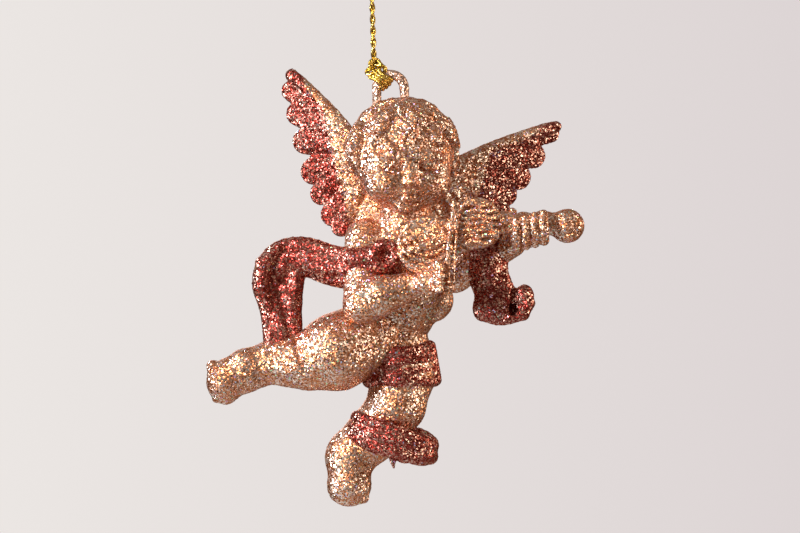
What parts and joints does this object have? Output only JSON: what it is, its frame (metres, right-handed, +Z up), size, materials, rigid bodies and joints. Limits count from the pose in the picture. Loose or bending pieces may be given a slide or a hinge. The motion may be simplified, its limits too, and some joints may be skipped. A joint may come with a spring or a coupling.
{
  "type": "resin angel figurine",
  "caption": "Hanging cherub ornament: a winged child playing a violin, draped in ribbons, hung by an eye on its crown from a knotted metallic cord.",
  "frame": {"origin": "the hanging point, under the crown of the cord's top loop, where a hook or twig carries it", "axes": "+Z up along the hanging cord; the figure's chest faces -Y; +X towards the violin's scroll"},
  "size_m": [0.088, 0.0391, 0.1411],
  "materials": {
    "champagne_glitter": "champagne glitter over resin",
    "rose_glitter": "rose-red glitter over resin",
    "gold_thread": "metallic thread"
  },
  "bodies": {
    "top_loop": {"cord_top_loop": "gold_thread"},
    "strands": {"cord_strands": "gold_thread"},
    "knot": {"cord_knot": "gold_thread", "cord_hitch": "gold_thread"},
    "figure": {"hanging_eye": "champagne_glitter", "head": "champagne_glitter", "torso": "champagne_glitter", "right_arm": "champagne_glitter", "left_arm": "champagne_glitter", "right_leg": "champagne_glitter", "left_leg": "champagne_glitter", "right_wing": "rose_glitter", "left_wing": "rose_glitter", "violin_body": "champagne_glitter", "violin_neck": "champagne_glitter", "violin_bow": "champagne_glitter", "scarf_loop": "rose_glitter", "scarf_tail": "rose_glitter", "thigh_sash": "rose_glitter", "knee_sash": "rose_glitter"}
  },
  "joints": [
    {"name": "cord_twist", "type": "hinge", "parent": "top_loop", "child": "strands", "pos_m": [0, 0, 0], "axis": [0, 0, 1], "continuous": true},
    {"name": "side_rock", "type": "hinge", "parent": "strands", "child": "knot", "pos_m": [0, 0, -0.0377], "axis": [0, 1, 0], "range_deg": [-30, 30]},
    {"name": "front_swing", "type": "hinge", "parent": "knot", "child": "figure", "pos_m": [0.00141, 0, -0.04241], "axis": [1, 0, 0], "range_deg": [-40, 40]}
  ]
}
